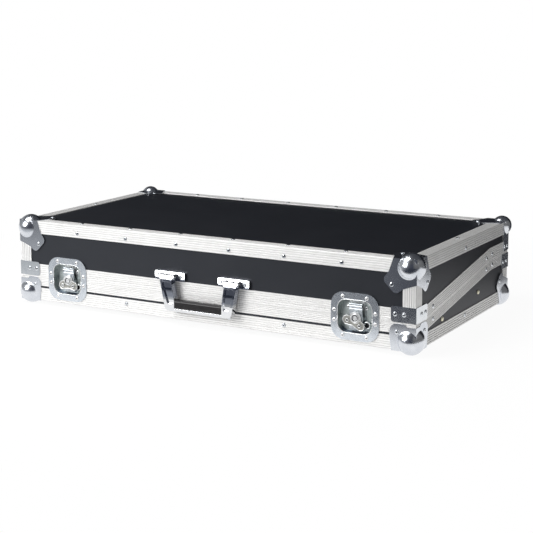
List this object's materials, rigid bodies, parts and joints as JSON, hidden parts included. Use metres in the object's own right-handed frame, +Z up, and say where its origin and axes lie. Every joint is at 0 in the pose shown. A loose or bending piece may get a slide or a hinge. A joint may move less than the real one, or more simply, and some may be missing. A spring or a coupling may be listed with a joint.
{
  "type": "flight case",
  "caption": "Wedge-fronted flight case with aluminium edge profiles, ball corners, a hinged lid, recessed butterfly latches and a drop handle.",
  "frame": {"origin": "centre of the bounding box in plan, on the floor under the ball corners", "axes": "+X along the front to the viewer's right, +Y from the front with the latches to the hinged back, +Z up"},
  "size_m": [1.06, 0.5802, 0.216],
  "materials": {
    "laminate": "black textured laminate on plywood",
    "profiles": "satin extruded, fine flutes",
    "ball_corners": "bright plated pressed steel",
    "hardware": "bright zinc plated",
    "fasteners": "bright",
    "handle": "polished",
    "grip": "matte, ribbed",
    "rails": "zinc plated",
    "foam": "soft foam sheet"
  },
  "bodies": {
    "base": {"base_bottom_panel": "laminate", "base_front_panel": "laminate", "base_back_panel": "laminate", "base_side_panels": "laminate", "base_edge_front": "profiles", "base_edge_back": "profiles", "base_edge_left": "profiles", "base_edge_right": "profiles", "base_posts": "profiles", "base_closing_front": "profiles", "base_closing_back": "profiles", "base_closing_left": "profiles", "base_closing_right": "profiles", "base_front_ball_corners": "ball_corners", "base_rear_ball_corners": "ball_corners", "base_braces": "hardware", "base_edge_rivets": "fasteners", "base_corner_rivets": "fasteners", "latch_dish_left": "hardware", "latch_dish_right": "hardware", "latch_bridge_left": "hardware", "latch_bridge_right": "hardware", "equipment_rails": "rails", "rail_bolts": "fasteners", "base_foam": "foam", "hinge_base_leaves": "hardware", "hinge_pins": "hardware"},
    "lid": {"lid_top_panel": "laminate", "lid_front_panel": "laminate", "lid_back_panel": "laminate", "lid_side_panels": "laminate", "lid_edge_front": "profiles", "lid_edge_back": "profiles", "lid_edge_left": "profiles", "lid_edge_right": "profiles", "lid_posts": "profiles", "lid_closing_front": "profiles", "lid_closing_back": "profiles", "lid_closing_left": "profiles", "lid_closing_right": "profiles", "lid_front_ball_corners": "ball_corners", "lid_rear_ball_corners": "ball_corners", "lid_braces": "hardware", "lid_edge_rivets": "fasteners", "lid_corner_rivets": "fasteners", "keeper_dish_left": "hardware", "keeper_dish_right": "hardware", "keepers": "rails", "lid_foam": "foam", "hinge_lid_leaves": "hardware", "handle_plates": "handle", "handle_screws": "fasteners"},
    "handle": {"handle_bail": "handle", "handle_grip": "grip"},
    "claw_left": {"claw_left": "hardware"},
    "claw_right": {"claw_right": "hardware"},
    "spindle_left": {"spindle_left": "hardware"},
    "spindle_right": {"spindle_right": "hardware"},
    "butterfly_left": {"butterfly_left": "hardware"},
    "butterfly_right": {"butterfly_right": "hardware"}
  },
  "joints": [
    {"name": "lid_hinge", "type": "hinge", "parent": "base", "child": "lid", "pos_m": [0, 0.28413, 0.1275], "axis": [-1, 0, 0], "range_deg": [0, 100]},
    {"name": "handle_swing", "type": "hinge", "parent": "lid", "child": "handle", "pos_m": [0, -0.28287, 0.111], "axis": [-1, 0, 0], "range_deg": [0, 100]},
    {"name": "twist_left", "type": "hinge", "parent": "base", "child": "spindle_left", "pos_m": [-0.379, -0.26713, 0.0675], "axis": [0, -1, 0], "range_deg": [0, 180]},
    {"name": "twist_right", "type": "hinge", "parent": "base", "child": "spindle_right", "pos_m": [0.379, -0.26713, 0.0675], "axis": [0, -1, 0], "range_deg": [0, 180]},
    {"name": "flip_left", "type": "hinge", "parent": "spindle_left", "child": "butterfly_left", "pos_m": [-0.379, -0.26713, 0.0675], "axis": [-1, 0, 0], "range_deg": [0, 90]},
    {"name": "flip_right", "type": "hinge", "parent": "spindle_right", "child": "butterfly_right", "pos_m": [0.379, -0.26713, 0.0675], "axis": [-0.9397, 0, 0.342], "range_deg": [0, 90]},
    {"name": "claw_slide_left", "type": "slide", "parent": "base", "child": "claw_left", "axis": [0, 0, 1], "range_m": [0, 0.0055]},
    {"name": "claw_slide_right", "type": "slide", "parent": "base", "child": "claw_right", "axis": [0, 0, 1], "range_m": [0, 0.0055]}
  ],
  "couplings": [
    {"joint": "claw_slide_left", "follows": "twist_left", "m_per_rad": 0.00175},
    {"joint": "claw_slide_right", "follows": "twist_right", "m_per_rad": 0.00175}
  ]
}
